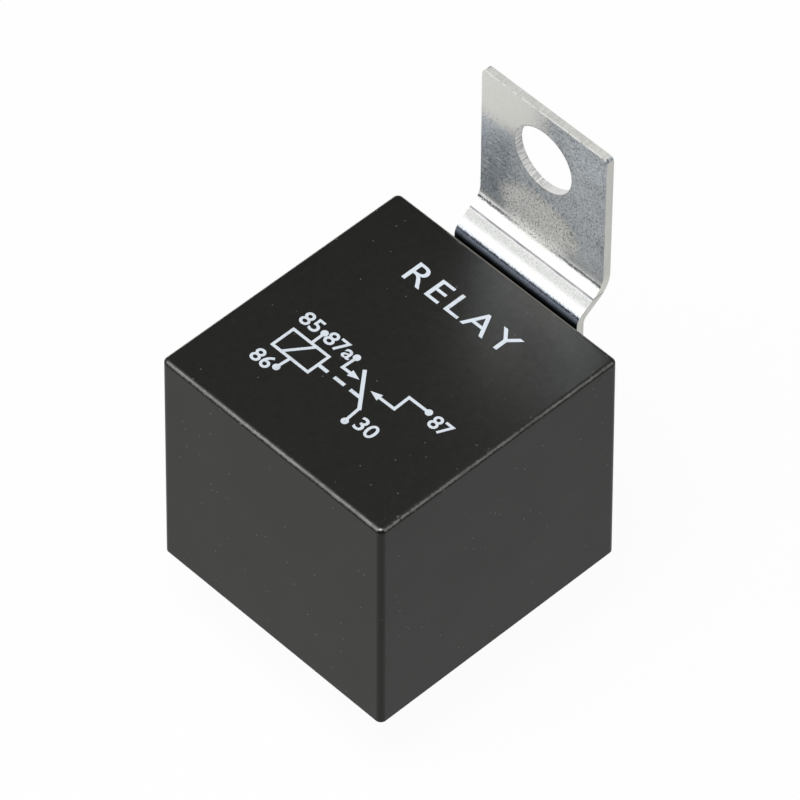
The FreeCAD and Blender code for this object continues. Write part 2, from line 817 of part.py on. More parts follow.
def moving_contact():
    """The rivet at the leaf's tip, with a domed head on both sides."""
    low = armature_top - moving_contact_height
    high = leaf_top + moving_contact_height
    middle_radius = (contact_radius + contact_crown_radius) / 2
    reaches = (contact_radius, middle_radius, contact_crown_radius)
    upper = [vec(reach, 0, high - dome_drop(reach)) for reach in reaches]
    lower = [vec(reach, 0, low + dome_drop(reach)) for reach in reversed(reaches)]
    corners = [
        lower[-1],
        vec(contact_radius, 0, armature_top),
        vec(contact_shank_radius, 0, armature_top),
        vec(contact_shank_radius, 0, leaf_top),
        vec(contact_radius, 0, leaf_top),
        upper[0],
    ]
    axis = [upper[-1], vec(0, 0, upper[-1].z), vec(0, 0, lower[0].z), lower[0]]
    edges = [Part.makeLine(start, end) for start, end in zip(corners, corners[1:])]
    edges.append(Part.Arc(*upper).toShape())
    edges += [Part.makeLine(start, end) for start, end in zip(axis, axis[1:])]
    edges.append(Part.Arc(*lower).toShape())
    rivet = Part.Face(Part.Wire(edges)).revolve(vec(0, 0, 0), vec(0, 0, 1), 360)
    rivet.translate(vec(0, contact_y, 0))
    return at_rest(rivet)


def fixed_contact(sheet_face, up):
    """A contact rivet in a terminal's sheet: head on one face, staked foot on the other."""
    direction = 1 if up else -1
    head_z = min(sheet_face, sheet_face + direction * fixed_contact_height)
    far_face = sheet_face - direction * terminal_sheet
    foot_z = min(far_face, far_face - direction * contact_foot)
    shank_z = min(sheet_face, far_face)
    head = disc(contact_radius, 0, contact_y, head_z, fixed_contact_height)
    shank = disc(contact_shank_radius, 0, contact_y, shank_z, terminal_sheet)
    foot = disc(contact_foot_radius, 0, contact_y, foot_z, contact_foot)
    return head.fuse([shank, foot]).removeSplitter()


# The return spring and the braid

def spring_hook(loop_z, coil_end_z):
    """An end loop, drawn from the coil's last turn and round the tab that holds it."""
    direction = math.copysign(1, loop_z - coil_end_z)
    side = vec(spring_shift + spring_radius, spring_y, 0)
    start = side + vec(0, 0, coil_end_z - direction * spring_wire_radius)
    level = side + vec(0, 0, loop_z)
    bar = Part.Face(wire_section(spring_hook_wire, start, vec(0, 0, 1))).extrude(level - start)
    loop = Part.Face(wire_section(spring_hook_wire, level, vec(0, 0, 1)))
    loop = loop.revolve(vec(spring_shift, spring_y, loop_z), vec(0, -direction, 0), 180)
    return bar.fuse(loop).removeSplitter()


def return_spring():
    """The tension spring from the yoke's tongue to the armature's tail."""
    tail = vec(0, spring_y, armature_top - tail_notch)
    pivot = vec(0, yoke_back, pivot_z)
    arm = tail - pivot
    tail_z = pivot.z + arm.y * math.sin(travel) + arm.z * math.cos(travel)
    inside = spring_radius - spring_hook_wire
    reach = math.sqrt(inside ** 2 - (tail_width / 2) ** 2) - spring_seat_clearance
    top_loop = tail_z - reach
    bottom_loop = tongue_underside + tail_notch + reach
    coil_top = top_loop - spring_hook_rise
    coil_bottom = bottom_loop + spring_hook_rise
    length = coil_top - coil_bottom
    pitch = length / spring_turns
    helix = Part.makeHelix(pitch, length, spring_radius)
    start = vec(0, 2 * math.pi * spring_radius, pitch)
    ring = wire_section(spring_wire_radius, vec(spring_radius, 0, 0), start)
    coil = Part.Wire(helix).makePipeShell([ring], True, True)
    coil.translate(vec(spring_shift, spring_y, coil_bottom))
    hooks = [spring_hook(top_loop, coil_top), spring_hook(bottom_loop, coil_bottom)]
    return coil.fuse(hooks).removeSplitter()


def rested(y, z):
    """A point of the armature's side view, swung from closed to rest."""
    arm_y = y - yoke_back
    arm_z = z - pivot_z
    turned_y = arm_y * math.cos(travel) - arm_z * math.sin(travel)
    turned_z = arm_y * math.sin(travel) + arm_z * math.cos(travel)
    return vec(braid_x, yoke_back + turned_y, pivot_z + turned_z)


def contact_braid():
    """The flexible braid from the leaf, over the hinge and down to the common riser."""
    land_y = yoke_front + armature_clearance
    level = leaf_top + braid_thickness / 2
    riser_back = spring_y - terminal_sheet / 2 - braid_thickness / 2
    path = [
        rested(land_y + braid_weld_length, level),
        rested(land_y, level),
        vec(braid_x, yoke_back, level + braid_arch),
        vec(braid_x, riser_back, pivot_z + braid_arch / 2),
        vec(braid_x, riser_back, yoke_top - riser_drop - braid_weld_length),
    ]
    return folded_sheet(path, braid_thickness, [braid_bend_radius] * 3, vec(braid_width, 0, 0))


def main():
    mechanism = {
        "base_plate": base_plate(),
        "terminal_30": terminal_30(),
        "terminal_85": coil_terminal(-1),
        "terminal_86": coil_terminal(1),
        "terminal_87": terminal_87(),
        "terminal_87a": terminal_87a(),
        "yoke": yoke(),
        "core": core(),
        "bobbin": bobbin(),
        "winding": winding(),
        "armature": armature(),
        "contact_leaf": contact_leaf(),
        "leaf_rivets": leaf_rivets(),
        "moving_contact": moving_contact(),
        "open_contact": fixed_contact(shelf_top, True),
        "closed_contact": fixed_contact(ceiling - ceiling_gap - terminal_sheet, False),
        "return_spring": return_spring(),
        "contact_braid": contact_braid(),
    }
    for shape in mechanism.values():
        shape.rotate(vec(0, 0, 0), vec(0, 0, 1), 180)
    pieces = {"cover": cover(), "mounting_bracket": mounting_bracket(), **mechanism}
    os.makedirs("parts", exist_ok=True)
    for name, shape in pieces.items():
        shape.exportStep("parts/" + name + ".step")


main()
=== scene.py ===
"""Finishes, print and stage for a cube automotive relay with a steel bracket."""

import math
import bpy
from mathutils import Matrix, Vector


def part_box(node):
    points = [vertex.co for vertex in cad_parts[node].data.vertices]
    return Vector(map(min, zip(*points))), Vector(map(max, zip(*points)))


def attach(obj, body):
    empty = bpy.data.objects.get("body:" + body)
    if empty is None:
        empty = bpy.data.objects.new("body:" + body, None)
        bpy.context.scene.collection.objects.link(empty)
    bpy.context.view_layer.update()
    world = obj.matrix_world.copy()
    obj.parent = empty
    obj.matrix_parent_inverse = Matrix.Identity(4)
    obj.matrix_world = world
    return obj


bl_info = {
    "name": "Cube Relay Finishes",
    "version": (1, 0, 0),
    "blender": (4, 5, 0),
    "location": "View3D > Sidebar > Relay",
    "description": "Moulded, plated and printed finishes for a cube relay, with its stage",
    "category": "Object",
}

import bmesh
import bpy
from bpy.props import FloatProperty, FloatVectorProperty, PointerProperty, StringProperty
from mathutils import Matrix, Vector

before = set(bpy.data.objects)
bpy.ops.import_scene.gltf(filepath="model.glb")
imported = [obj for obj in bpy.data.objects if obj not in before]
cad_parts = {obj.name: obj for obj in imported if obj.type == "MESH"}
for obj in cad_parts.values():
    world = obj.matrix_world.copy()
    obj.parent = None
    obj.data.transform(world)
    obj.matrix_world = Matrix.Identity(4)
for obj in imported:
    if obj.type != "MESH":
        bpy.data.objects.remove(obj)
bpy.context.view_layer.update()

MM = 0.001
MICROMETRE = MM / 1000
COVER_LOW, COVER_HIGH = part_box("cover")
COVER_TOP = COVER_HIGH.z
BRACKET_LOW, BRACKET_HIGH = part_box("mounting_bracket")
BASE_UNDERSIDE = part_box("base_plate")[0].z
BLADE_TIP_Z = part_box("terminal_87")[0].z

# The cover as its finish reads it, in millimetres: half its width, half its depth by the plain
# front wall, its height, and how far each wall leans in from rim to top
COVER_HALF_X = COVER_HIGH.x / MM
COVER_HALF_Y = -COVER_LOW.y / MM
COVER_HEIGHT = COVER_TOP / MM
COVER_DRAFT = 0.19

# The bracket as its finish reads it, in millimetres: its sheet, and the plate's middle line,
# half width, top edge and front face
SHEET = 0.8
PLATE_MIDDLE = (BRACKET_LOW.x + BRACKET_HIGH.x) / 2 / MM
PLATE_HALF = (BRACKET_HIGH.x - BRACKET_LOW.x) / 2 / MM
PLATE_TOP = BRACKET_HIGH.z / MM
PLATE_FRONT = BRACKET_HIGH.y / MM - SHEET
# Heights of the slope's low end, of the line that the folding tool left, of the upper bend's
# top and of the hole's middle
SLOPE_LOW = COVER_HEIGHT + 1.1
SCRIBE = COVER_HEIGHT + 1.93
BEND_TOP = COVER_HEIGHT + 3.8
HOLE_HEIGHT = PLATE_TOP - 5.6
HOLE_RADIUS = 3.4
# How far back the painted dark reflection in the crease behind the cover reaches
CREASE_BACK = PLATE_FRONT - 2.5

# Tones of the zinc plating beside those in its settings, painted glints and reflections among them
COOL_FROST = (0.62, 0.67, 0.71)
SLOPE_GREY = (0.45, 0.46, 0.46)
GRAIN_PITS = (0.22, 0.24, 0.27)
BORE_WHITE = (0.97, 0.97, 0.95)
SHEAR_GREY = (0.4, 0.4, 0.41)
BURR_HIGHLIGHT_WHITE = (0.95, 0.95, 0.93)
PAINTED_GLINT_WHITE = (0.95, 0.96, 0.97)
SCRATCH_WHITE = (0.9, 0.9, 0.88)
SCRIBE_GREY = (0.16, 0.15, 0.18)
PALE_CREASE_REFLECTION = (0.26, 0.34, 0.48)
DEEP_CREASE_REFLECTION = (0.035, 0.055, 0.1)

# The camera, fitted to seven corners of the cover in the photograph: where it stands round the
# object and its roll, in degrees, how far it is moved right, up and back, in millimetres, and
# its focal length and the photograph's width in pixels
CAMERA_AZIMUTH, CAMERA_ELEVATION, CAMERA_ROLL = 45.89, 48.87, 0.24
CAMERA_RIGHT, CAMERA_UP, CAMERA_BACK = 0.943, 13.082, 671.4
FOCAL_PIXELS = 7636
PHOTO_PIXELS = 800
SENSOR_WIDTH = 36

# How far the numbers stand off the base plate
RAISED = 0.15 * MM

FLOOR_SIZE = 6.0
# Share of its own white that the floor shows; the rest is paper, which takes the shadow
FLOOR_GLOW = 0.96


# Settings that a user would change


class RELAY_PG_cover(bpy.types.PropertyGroup):
    colour: FloatVectorProperty(
        name="Plastic", description="Colour of the moulded cover", subtype="COLOR",
        default=(0.0044, 0.0044, 0.0024), min=0, max=1,
    )
    # Colour of the rubbed edges, which also stands for their painted highlight
    wear_and_highlight_colour: FloatVectorProperty(
        name="Rubbed edge and highlight", description="Colour of the rubbed edges", subtype="COLOR",
        default=(0.2, 0.197, 0.186), min=0, max=1,
    )
    roughness: FloatProperty(
        name="Roughness", description="Roughness of the moulded skin", subtype="FACTOR",
        default=0.4, min=0, max=1,
    )
    edge_radius: FloatProperty(
        name="Edge radius", description="Radius of the cover's rounded top edges",
        subtype="DISTANCE", unit="LENGTH", default=0.45 * MM, min=0,
    )
    grain_depth: FloatProperty(
        name="Grain", description="Depth of the matt grain", subtype="DISTANCE", unit="LENGTH",
        default=0.012 * MM, min=0,
    )
    sink_depth: FloatProperty(
        name="Sink", description="Depth of the shallow hollows in the walls",
        subtype="DISTANCE", unit="LENGTH", default=0.03 * MM, min=0,
    )
    dust_colour: FloatVectorProperty(
        name="Dust", description="Colour of the dust specks", subtype="COLOR",
        default=(0.18, 0.18, 0.175), min=0, max=1,
    )
    back_line_colour: FloatVectorProperty(
        name="Back line", description="Colour of the line along the edge at the bracket",
        subtype="COLOR", default=(0.27, 0.24, 0.18), min=0, max=1,
    )


class RELAY_PG_zinc(bpy.types.PropertyGroup):
    colour: FloatVectorProperty(
        name="Zinc", description="Colour of the plating", subtype="COLOR",
        default=(0.78, 0.79, 0.78), min=0, max=1,
    )
    # Also the colour of the painted dark reflection on the plate's left
    dull_and_reflection_colour: FloatVectorProperty(
        name="Dull patches and dark reflection", description="Colour where the plating is dull", subtype="COLOR",
        default=(0.36, 0.41, 0.46), min=0, max=1,
    )
    # Also the colour of the painted lit patch and pale reflection on the plate's front
    frost_and_light_colour: FloatVectorProperty(
        name="Frost and lit patch", description="Colour of the frosted grain", subtype="COLOR",
        default=(0.9, 0.895, 0.84), min=0, max=1,
    )
    roughness: FloatProperty(
        name="Roughness", description="Roughness of the plating", subtype="FACTOR",
        default=0.14, min=0, max=1,
    )
    grain_size: FloatProperty(
        name="Grain size", description="Size of the plating's grain", subtype="DISTANCE",
        unit="LENGTH", default=0.18 * MM, min=0,
    )


class RELAY_PG_print(bpy.types.PropertyGroup):
    colour: FloatVectorProperty(
        name="Ink", description="Colour of the printed figure", subtype="COLOR",
        default=(0.74, 0.8, 0.87), min=0, max=1,
    )
    line_width: FloatProperty(
        name="Line width", description="Width of the figure's lines", subtype="DISTANCE",
        unit="LENGTH", default=0.29 * MM, min=0,
    )
    ink_height: FloatProperty(
        name="Ink height", description="How far the ink stands off the plastic",
        subtype="DISTANCE", unit="LENGTH", default=0.02 * MM, min=0,
    )
    digit_height: FloatProperty(
        name="Digit height", description="Height of the terminal numbers", subtype="DISTANCE",
        unit="LENGTH", default=1.58 * MM, min=0,
    )
    word: StringProperty(
        name="Word", description="Plain word printed above the figure", default="RELAY",
    )


class RELAY_PG_metal(bpy.types.PropertyGroup):
    copper: FloatVectorProperty(
        name="Terminal metal", description="Colour of the blades", subtype="COLOR",
        default=(0.72, 0.5, 0.33), min=0, max=1,
    )
    steel: FloatVectorProperty(
        name="Magnet steel", description="Colour of the yoke, core and armature",
        subtype="COLOR", default=(0.42, 0.42, 0.41), min=0, max=1,
    )
    wire: FloatVectorProperty(
        name="Copper wire", description="Colour of the winding",
        subtype="COLOR", default=(0.55, 0.2, 0.09), min=0, max=1,
    )
    bronze: FloatVectorProperty(
        name="Leaf bronze", description="Colour of the contact leaf and its rivets",
        subtype="COLOR", default=(0.7, 0.5, 0.27), min=0, max=1,
    )
    silver: FloatVectorProperty(
        name="Contact silver", description="Colour of the contacts", subtype="COLOR",
        default=(0.85, 0.84, 0.8), min=0, max=1,
    )
    spring: FloatVectorProperty(
        name="Spring wire", description="Colour of the return spring", subtype="COLOR",
        default=(0.5, 0.5, 0.5), min=0, max=1,
    )


class RELAY_PG_stage(bpy.types.PropertyGroup):
    floor_colour: FloatVectorProperty(
        name="Floor", description="Colour of the floor", subtype="COLOR",
        default=(0.9, 0.9, 0.9), min=0, max=1,
    )
    key_power: FloatProperty(
        name="Key light", description="Power of the lamp overhead", unit="POWER",
        default=4.1, min=0,
    )
    fill_power: FloatProperty(
        name="Fill light", description="Power of the soft panel in front", unit="POWER",
        default=0.95, min=0,
    )
    sky: FloatProperty(
        name="Sky", description="Strength of the even light from all round", subtype="FACTOR",
        default=0.042, min=0, max=1,
    )


SETTINGS = {
    "relay_cover": RELAY_PG_cover,
    "relay_zinc": RELAY_PG_zinc,
    "relay_print": RELAY_PG_print,
    "relay_metal": RELAY_PG_metal,
    "relay_stage": RELAY_PG_stage,
}


# Shader maths written as Python expressions


class Term:
    """A number or colour socket that takes part in Python arithmetic."""

    def __init__(self, shader, socket):
        self.shader = shader
        self.socket = socket

    def math(self, operation, *others):
        return self.shader.node("ShaderNodeMath", {"operation": operation}, [self, *others])

    def __add__(self, other):
        return self.math("ADD", other)

    def __sub__(self, other):
        return self.math("SUBTRACT", other)

    def __mul__(self, other):
        return self.math("MULTIPLY", other)

    def __truediv__(self, other):
        return self.math("DIVIDE", other)

    def __rsub__(self, other):
        return self.shader.node("ShaderNodeMath", {"operation": "SUBTRACT"}, [other, self])

    __radd__ = __add__
    __rmul__ = __mul__

    def absolute(self):
        return self.math("ABSOLUTE")

    def least(self, other):
        return self.math("MINIMUM", other)

    def most(self, other):
        return self.math("MAXIMUM", other)

    def fade(self, start, end):
        """0 at start and 1 at end, eased, with start above or below end."""
        settings = {"interpolation_type": "SMOOTHERSTEP", "clamp": True}
        if start < end:
            return self.shader.node("ShaderNodeMapRange", settings, [self, start, end, 0, 1])
        return self.shader.node("ShaderNodeMapRange", settings, [self, end, start, 1, 0])


class Shader:
    """A material whose nodes come from one method."""

    def __init__(self, name):
        self.material = bpy.data.materials.new(name)
        self.material.use_nodes = True
        self.tree = self.material.node_tree
        self.tree.nodes.clear()
        place = self.node("ShaderNodeTexCoord", output="Object")
        self.place = self.node(
            "ShaderNodeVectorMath", {"operation": "SCALE"}, {"Vector": place, "Scale": 1 / MM}
        )
        self.x, self.y, self.z = (
            self.node("ShaderNodeSeparateXYZ", None, [self.place], axis) for axis in range(3)
        )

    def node(self, kind, settings=None, inputs=None, output=0):
        """Add a node, set it up, fill or link its sockets and hand back one output."""
        node = self.tree.nodes.new(kind)
        for key, value in (settings or {}).items():
            setattr(node, key, value)
        pairs = inputs.items() if isinstance(inputs, dict) else enumerate(inputs or [])
        for key, value in pairs:
            if isinstance(value, Term):
                self.tree.links.new(value.socket, node.inputs[key])
            else:
                node.inputs[key].default_value = value
        return Term(self, node.outputs[output]) if node.outputs else node

    def noise(self, size, detail=2.0, roughness=0.5, stretch=(1, 1, 1), seed=0.0):
        """Cloudy noise whose lumps are about size millimetres across."""
        place = self.node(
            "ShaderNodeVectorMath", {"operation": "MULTIPLY_ADD"},
            [self.place, stretch, (seed, 2 * seed, 3 * seed)],
        )
        inputs = {"Vector": place, "Scale": 1 / size, "Detail": detail, "Roughness": roughness}
        return self.node("ShaderNodeTexNoise", None, inputs)

    def cells(self, size):
        """Distance to the middle of cells about size millimetres across, in cells."""
        inputs = {"Vector": self.place, "Scale": 1 / size}
        return self.node("ShaderNodeTexVoronoi", None, inputs, "Distance")

    def blend(self, factor, low, high):
        """A colour between two others, low at 0 and high at 1."""
        low, high = (end if isinstance(end, Term) else opaque(end) for end in (low, high))
        settings = {"data_type": "RGBA", "clamp_factor": True}
        return self.node("ShaderNodeMix", settings, {0: factor, 6: low, 7: high}, 2)

    def bump(self, height, distance, strength, under=None):
        """A normal raised by a height, on top of another normal if one is given."""
        inputs = {"Height": height, "Distance": distance, "Strength": strength}
        if under is not None:
            inputs["Normal"] = under
        return self.node("ShaderNodeBump", None, inputs)

    def finish(self, inputs):
        """Close the material with a principled surface."""
        return self.output(self.node("ShaderNodeBsdfPrincipled", None, inputs))

    def output(self, surface):
        """Close the material with any surface."""
        self.node("ShaderNodeOutputMaterial", None, {"Surface": surface})
        return self.material


def opaque(colour):
    """A colour with its alpha, as a socket takes it."""
    return (*colour[:3], 1)


def tint(colour, share):
    """A colour made darker or lighter."""
    return tuple(share * part for part in colour[:3])


# The finishes


def cover_finish(settings):
    """Black moulded plastic: matt grain, top edges rubbed and given a painted highlight, dust, and a
    glossier top.
    """
    shader = Shader("black_moulded_cover")
    lean = shader.z * (COVER_DRAFT / COVER_HEIGHT)
    to_side = COVER_HALF_X - lean - shader.x.absolute()
    to_end = COVER_HALF_Y - lean - shader.y.absolute()
    to_back = COVER_HALF_Y - lean - shader.y
    to_top = COVER_HEIGHT - shader.z
    ragged = shader.noise(0.35, 3.0, 0.65) - 0.5
    wander = shader.noise(2.6, 2.0, 0.5, seed=4.0)

    # On the rounded edge this is least, 0.59 of the radius, half way round the turn
    turn = (to_side.least(to_end) + to_top) / (settings.edge_radius / MM)
    # The pale line half way round the edge's turn is partly wear and partly a painted highlight
    rubbed_and_highlight = (turn + ragged * 0.26).fade(0.665, 0.6) * (wander.fade(0.3, 0.62) * 0.4 + 0.65)
    nicks = shader.cells(0.7).fade(0.24, 0.12) * turn.fade(1.4, 0.8)
    nicks = nicks * shader.noise(1.6, seed=9.0).fade(0.5, 0.58)
    rubbed_and_highlight = rubbed_and_highlight.most(nicks * 0.6)

    # A thin pale line on the back edge, as wide as the bracket
    behind = (shader.x - PLATE_MIDDLE).absolute().fade(PLATE_HALF + 0.6, PLATE_HALF + 0.2)
    pale_back_line = to_back.fade(0.37, 0.3) * to_top.fade(0.5, 0.45) * (wander * 0.7 + 0.4) * behind

    cloud = shader.noise(7.0, 3.0, 0.55, seed=2.0)
    mottle = shader.noise(0.7, 3.0, 0.6, seed=8.0)
    dust = shader.cells(0.75).fade(0.1, 0.06) * shader.noise(1.3, seed=6.0).fade(0.51, 0.57)
    dark, light = tint(settings.colour, 0.75), tint(settings.colour, 1.25)
    body = shader.blend(cloud * 0.5 + mottle * 0.5, dark, light)
    body = shader.blend(dust, body, settings.dust_colour)
    body = shader.blend(rubbed_and_highlight * 0.85, body, settings.wear_and_highlight_colour)
    body = shader.blend(pale_back_line, body, settings.back_line_colour)

    grain = shader.noise(0.16, 3.0, 0.6) + shader.noise(0.07, 1.0, 0.5, seed=3.0) * 0.5
    sink = shader.noise(9.0, 1.0, 0.5, seed=7.0)
    normal = shader.bump(grain, settings.grain_depth, 0.55)
    normal = shader.bump(sink, settings.sink_depth, 0.4, normal)
    roughness = settings.roughness + (cloud - 0.5) * 0.08 + rubbed_and_highlight * 0.15
    fine = shader.noise(0.13, 2.0, 0.6, seed=12.0)
    gloss = to_top.fade(0.2, 0.04) * (0.5 + mottle * 0.35 + fine * 0.5)
    return shader.finish({
        "Base Color": body, "Roughness": roughness, "Normal": normal, "IOR": 1.31,
        "Coat Weight": gloss, "Coat Roughness": 0.33, "Coat IOR": 2.15,
    })


def base_finish():
    """Plain black plastic with faint flow marks."""
    shader = Shader("black_moulded_base")
    flow = shader.noise(2.4, 3.0, 0.6, stretch=(1, 0.25, 1))
    dark, light = (0.012, 0.012, 0.012), (0.02, 0.02, 0.019)
    return shader.finish({
        "Base Color": shader.blend(flow, dark, light),
        "Roughness": 0.38 + (flow - 0.5) * 0.15,
        "Normal": shader.bump(shader.noise(0.2, 2.0), 0.01 * MM, 0.5),
    })


def bobbin_finish():
    """Pale natural plastic, a little uneven."""
    shader = Shader("pale_moulded_bobbin")
    cloud = shader.noise(3.0, 2.0)
    dark, light = (0.62, 0.6, 0.5), (0.75, 0.73, 0.64)
    return shader.finish({
        "Base Color": shader.blend(cloud, dark, light),
        "Roughness": 0.42 + cloud * 0.1,
        "Normal": shader.bump(shader.noise(0.3, 2.0), 0.01 * MM, 0.4),
    })


def zinc_finish(settings):
    """Zinc-plated sheet steel: frosted grain, dull clouds, a grey slope, pale cut faces, painted light.
    """
    shader = Shader("zinc_plated_steel")
    speckle = shader.noise(settings.grain_size / MM, 2.0, 0.6)
    cloud = shader.noise(6.5, 2.0, 0.5, seed=3.0)
    patch = shader.noise(2.4, 3.0, 0.6, seed=11.0)
    across = shader.x - PLATE_MIDDLE
    up = shader.z - HOLE_HEIGHT
    from_hole = (across * across + up * up).math("SQRT")
    on_plate = shader.z.fade(BEND_TOP - 0.9, BEND_TOP + 0.3)
    on_slope = shader.z.fade(SCRIBE + 0.05, SCRIBE - 0.2)
    on_slope = on_slope * shader.z.fade(SLOPE_LOW, SLOPE_LOW + 0.5)

    # Cut faces: the strip's edges and the wall of its hole, with marks across the sheet, and
    # the burr that the shear turned up along the top edge, painted bright as a highlight
    bore = from_hole.fade(HOLE_RADIUS + 0.05, HOLE_RADIUS + 0.01)
    crown = shader.z.fade(PLATE_TOP - 0.05, PLATE_TOP - 0.01)
    sides = across.absolute().fade(PLATE_HALF - 0.05, PLATE_HALF - 0.01)
    cut = bore.most(crown).most(sides)
    shear = shader.noise(0.2, 2.0, 0.6, stretch=(1, 0.15, 1), seed=17.0).fade(0.6, 0.42)
    marks = shear * (crown * 0.2).most(bore * across.fade(1.5, -1.0) * 0.6) + crown * 0.15
    burr_highlight = shader.y.fade(PLATE_FRONT + 0.14, PLATE_FRONT + 0.06)
    burr_highlight = burr_highlight * shader.z.fade(PLATE_TOP - 0.12, PLATE_TOP - 0.05)
    burr_highlight = burr_highlight * shader.noise(0.5, 2.0, seed=19.0).fade(0.36, 0.48)

    # On the front, frost and painted light: a patch below the hole of frosted grain lit as a
    # painted pool of light, a painted pale reflection in the corner above it, less on the left,
    # where a dark reflection is painted, less on the hole's rim, and some everywhere
    face = shader.y.fade(PLATE_FRONT + 0.5, PLATE_FRONT + 0.3)
    side, down = (across + 0.6) * 0.18, (shader.z - BEND_TOP - 1.3) * 0.3
    frost_and_lit_patch = (side * side + down * down).fade(1.25, 0.15) * face
    frost_and_lit_patch = frost_and_lit_patch * (speckle.fade(0.34, 0.58) * 0.75 + 0.25)
    pale_corner_reflection = shader.z.fade(HOLE_HEIGHT - 1.0, HOLE_HEIGHT + 2.0) * across.fade(2.5, -2.5)
    pale_corner_reflection = pale_corner_reflection * face * 0.85
    # A painted dark reflection on the plate's left, below the hole's middle
    dark_left_reflection = across.fade(-2.0, -5.5) * shader.z.fade(HOLE_HEIGHT + 0.5, HOLE_HEIGHT - 2.0)
    rim = on_plate * from_hole.fade(HOLE_RADIUS + 0.16, HOLE_RADIUS + 0.08) * (1.0 - bore)
    # Random frost, and a little more to the right as a painted reflection
    frost_and_light = patch * (speckle.fade(0.34, 0.62) * 1.1 + 0.35) + across.fade(2.0, 6.0) * 0.1
    frost_and_light = on_plate * frost_and_light * (1.0 - dark_left_reflection * 0.4)
    frost_and_light = frost_and_light.most(pale_corner_reflection).most(frost_and_lit_patch).most(on_slope * 0.15)
    frost_and_light = (frost_and_light * (1.0 - rim * 0.7)).most(cut * 0.85).most(burr_highlight).least(0.92)
    # Warm where the painted lit patch and pale reflection, the cut faces and the slope lie
    warm = frost_and_lit_patch.most(pale_corner_reflection).most(cut).most(on_slope).fade(0.05, 0.45)
    frost_and_light_colour = shader.blend(warm, COOL_FROST, settings.frost_and_light_colour)

    # Painted glints in the grain and fine scratches across the plate
    painted_glint = shader.cells(0.42).fade(0.16, 0.08) * patch.fade(0.5, 0.58) * on_plate * (1.0 - cut)
    scratch = shader.noise(0.35, 1.0, 0.5, stretch=(0.06, 1.0, 1.1), seed=5.0)
    scratch = (scratch - 0.5).absolute().fade(0.02, 0.005) * cloud.fade(0.5, 0.6) * on_plate

    # The folding tool's line, and a bluish painted dark reflection in the crease over the cover's edge
    wavy = shader.z + (patch - 0.5) * 0.05
    scribed = (wavy - SCRIBE).absolute().fade(0.08, 0.03) * (patch * 0.9 + 0.3)
    ragged = shader.z + (shader.noise(0.2, 3.0, 0.7, seed=23.0) - 0.5) * 0.5
    in_crease = shader.y.fade(CREASE_BACK, CREASE_BACK - 0.1) * (1.0 - cut)
    pale = ragged.fade(SLOPE_LOW - 0.05, SLOPE_LOW - 0.6) * in_crease
    deep = ragged.fade(SLOPE_LOW - 0.4, SLOPE_LOW - 1.2) * in_crease

    # Dull clouds in the plating, and the painted dark reflection on the left
    dull_and_dark_reflection = (cloud.fade(0.38, 0.62) * 0.5 + dark_left_reflection * 0.5) * on_plate
    body = shader.blend(dull_and_dark_reflection, settings.colour, settings.dull_and_reflection_colour)
    for share, colour in (
        (on_slope * (speckle.fade(0.6, 0.4) * 0.35 + 0.6), SLOPE_GREY),
        (speckle.fade(0.52, 0.38) * on_plate * 0.85, GRAIN_PITS),
        (frost_and_light, frost_and_light_colour),
        (bore, BORE_WHITE),
        (marks, SHEAR_GREY),
        (burr_highlight, BURR_HIGHLIGHT_WHITE),
        (painted_glint * 0.7, PAINTED_GLINT_WHITE),
        (scratch * 0.6, SCRATCH_WHITE),
        (scribed, SCRIBE_GREY),
        (pale * 0.7, PALE_CREASE_REFLECTION),
        (deep * 0.85, DEEP_CREASE_REFLECTION),
    ):
        body = shader.blend(share, body, colour)
    roughness = settings.roughness + on_slope * 0.12 + on_plate * 0.24 + frost_and_light * 0.2
    return shader.finish({
        "Base Color": body,
        "Metallic": 1.0 - frost_and_light * 0.85,
        "Roughness": roughness + (speckle - 0.5) * 0.15,
        "Normal": shader.bump(speckle + marks * 0.6, 0.03 * MM, 0.5),
    })


def rolled_metal(name, colour, tarnish, roughness):
    """Rolled sheet or drawn metal: fine lines along Z and clouds of tarnish."""
    shader = Shader(name)
    lines = shader.noise(0.08, 2.0, 0.6, stretch=(1, 1, 0.08))
    cloud = shader.noise(2.6, 3.0, 0.6, seed=2.0)
    body = shader.blend(cloud.fade(0.35, 0.7) * 0.4, colour, tarnish)
    body = shader.blend(lines.fade(0.45, 0.7) * 0.3, body, tint(colour, 1.15))
    return shader.finish({
        "Base Color": body,
        "Metallic": 1.0,
        "Roughness": roughness + (lines - 0.5) * 0.2 + (cloud - 0.5) * 0.12,
        "Normal": shader.bump(lines, 0.006 * MM, 0.5),
    })


def winding_finish(settings):
    """Enamelled wire laid turn by turn."""
    shader = Shader("enamelled_winding")
    turns_per_mm = 7.5
    shadow = (0.16, 0.04, 0.02)
    groove = ((shader.z * turns_per_mm).math("FRACT") - 0.5).absolute()
    return shader.finish({
        "Base Color": shader.blend(groove.fade(0.2, 0.5), settings.wire, shadow),
        "Metallic": 0.6,
        "Roughness": 0.24 + shader.noise(1.2, 2.0) * 0.12,
        "Normal": shader.bump(0.5 - groove * groove * 2.0, 0.06 * MM, 0.8),
    })


